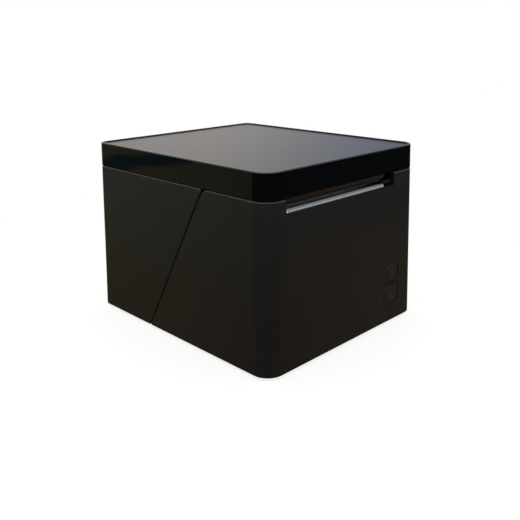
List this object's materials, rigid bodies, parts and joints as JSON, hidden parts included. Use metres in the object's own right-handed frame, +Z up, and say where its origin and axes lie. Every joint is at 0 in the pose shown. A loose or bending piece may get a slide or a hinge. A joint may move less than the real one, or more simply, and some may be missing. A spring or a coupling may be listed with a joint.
{
  "type": "receipt printer",
  "caption": "Compact counter-top thermal receipt printer with a hinged gloss lid, paper bucket, platen and print head, sliding cutter, tear bar, cover latch and push buttons.",
  "frame": {"origin": "on the table under the middle of the case", "axes": "+X right seen from the front, the front faces -Y, +Z up"},
  "size_m": [0.132, 0.152, 0.108],
  "materials": {
    "case_plastic": "fine textured black ABS",
    "rear_plastic": "fine textured black ABS",
    "tray_plastic": "textured black ABS",
    "foot_rubber": "matte moulded rubber",
    "lid_plastic": "polished piano black",
    "panel_plastic": "satin dark grey film",
    "liner_plastic": "moulded black ABS",
    "plated_steel": "zinc plated",
    "blade_steel": "ground and hardened",
    "bar_steel": "stamped stainless",
    "shaft_steel": "drawn and polished",
    "roller_rubber": "ground silicone rubber",
    "gear_plastic": "natural acetal",
    "bush_plastic": "dark filled acetal",
    "motor_can": "plated steel can",
    "head_ceramic": "glazed ceramic",
    "sink_aluminium": "extruded, clear anodised",
    "spring_steel": "blued spring strip",
    "carrier_plastic": "dark acetal",
    "bucket_plastic": "moulded black ABS",
    "sensor_plastic": "infrared pass plastic",
    "latch_steel": "black coated sheet steel",
    "button_plastic": "fine textured black ABS",
    "lens_plastic": "smoked clear acrylic",
    "circuit_board": "green solder mask",
    "socket_plastic": "black moulding",
    "socket_shell": "tinned steel shell"
  },
  "bodies": {
    "case": {"front_case": "case_plastic", "rear_case": "rear_plastic", "base_tray": "tray_plastic", "rubber_feet": "foot_rubber", "case_screws": "plated_steel", "idler_post": "shaft_steel", "feed_motor": "motor_can", "print_chassis": "plated_steel", "chassis_screws": "plated_steel", "pivot_rod": "shaft_steel", "head_spring": "spring_steel", "blade_guide": "plated_steel", "cutter_motor": "motor_can", "tear_bar": "bar_steel", "paper_ramp": "bucket_plastic", "paper_sensor": "sensor_plastic", "paper_bucket": "bucket_plastic", "latch_pin": "shaft_steel", "status_lens": "lens_plastic", "button_board": "circuit_board", "main_board": "circuit_board", "board_screws": "plated_steel", "power_socket": "socket_plastic", "drawer_socket": "socket_plastic", "usb_socket": "socket_shell", "lan_socket": "socket_shell"},
    "lid": {"lid_cover": "lid_plastic", "lid_panel": "panel_plastic", "hinge_pins": "shaft_steel", "lid_liner": "liner_plastic", "liner_screws": "plated_steel", "fixed_blade": "blade_steel", "platen_bushes": "bush_plastic"},
    "platen": {"platen_shaft": "shaft_steel", "platen_roller": "roller_rubber", "platen_gear": "gear_plastic"},
    "idler": {"idler_gear": "gear_plastic"},
    "feed_drive": {"feed_pinion": "gear_plastic"},
    "head": {"print_head": "head_ceramic", "heat_sink": "sink_aluminium"},
    "cutter_drive": {"cutter_shaft": "shaft_steel", "cutter_gear": "gear_plastic"},
    "cutter_blade": {"moving_blade": "blade_steel", "blade_carrier": "carrier_plastic"},
    "cutter_motor_drive": {"cutter_pinion": "gear_plastic"},
    "latch": {"latch_lever": "latch_steel"},
    "feed_key": {"feed_button": "button_plastic"},
    "power_key": {"power_button": "button_plastic"}
  },
  "joints": [
    {"name": "lid_hinge", "type": "hinge", "parent": "case", "child": "lid", "pos_m": [0, 0.0728, 0.1015], "axis": [-1, 0, 0], "range_deg": [0, 95]},
    {"name": "platen_spin", "type": "hinge", "parent": "lid", "child": "platen", "pos_m": [0, -0.055, 0.09455], "axis": [1, 0, 0], "continuous": true},
    {"name": "idler_spin", "type": "hinge", "parent": "case", "child": "idler", "pos_m": [0, -0.055, 0.07775], "axis": [1, 0, 0], "continuous": true},
    {"name": "feed_motor_spin", "type": "hinge", "parent": "case", "child": "feed_drive", "pos_m": [0, -0.04461, 0.06736], "axis": [1, 0, 0], "continuous": true},
    {"name": "head_tilt", "type": "hinge", "parent": "case", "child": "head", "pos_m": [0, -0.037, 0.08305], "axis": [1, 0, 0], "range_deg": [0, 2.5], "stiffness_Nm_per_rad": 3, "springref_deg": -1.15, "deforming": ["head_spring"]},
    {"name": "cutter_shaft_turn", "type": "hinge", "parent": "case", "child": "cutter_drive", "pos_m": [0, -0.05767, 0.052], "axis": [-1, 0, 0], "range_deg": [0, 85]},
    {"name": "blade_slide", "type": "slide", "parent": "case", "child": "cutter_blade", "axis": [0, 0, 1], "range_m": [0, 0.008]},
    {"name": "cutter_motor_spin", "type": "hinge", "parent": "case", "child": "cutter_motor_drive", "pos_m": [0, -0.04572, 0.04197], "axis": [-1, 0, 0], "range_deg": [-231, 0]},
    {"name": "latch_pivot", "type": "hinge", "parent": "case", "child": "latch", "pos_m": [0.037, -0.0684, 0.079], "axis": [-1, 0, 0], "range_deg": [0, 8]},
    {"name": "feed_button_press", "type": "slide", "parent": "case", "child": "feed_key", "axis": [0, 1, 0], "range_m": [0, 0.0008], "stiffness_N_per_m": 500, "springref_m": -0.001},
    {"name": "power_button_press", "type": "slide", "parent": "case", "child": "power_key", "axis": [0, 1, 0], "range_m": [0, 0.0008], "stiffness_N_per_m": 500, "springref_m": -0.001}
  ],
  "couplings": [
    {"joint": "idler_spin", "follows": "platen_spin", "ratio": -0.71429},
    {"joint": "feed_motor_spin", "follows": "platen_spin", "ratio": 1.4286},
    {"joint": "cutter_shaft_turn", "follows": "blade_slide", "rad_per_m": 185.19},
    {"joint": "cutter_motor_spin", "follows": "blade_slide", "rad_per_m": -502.65}
  ]
}
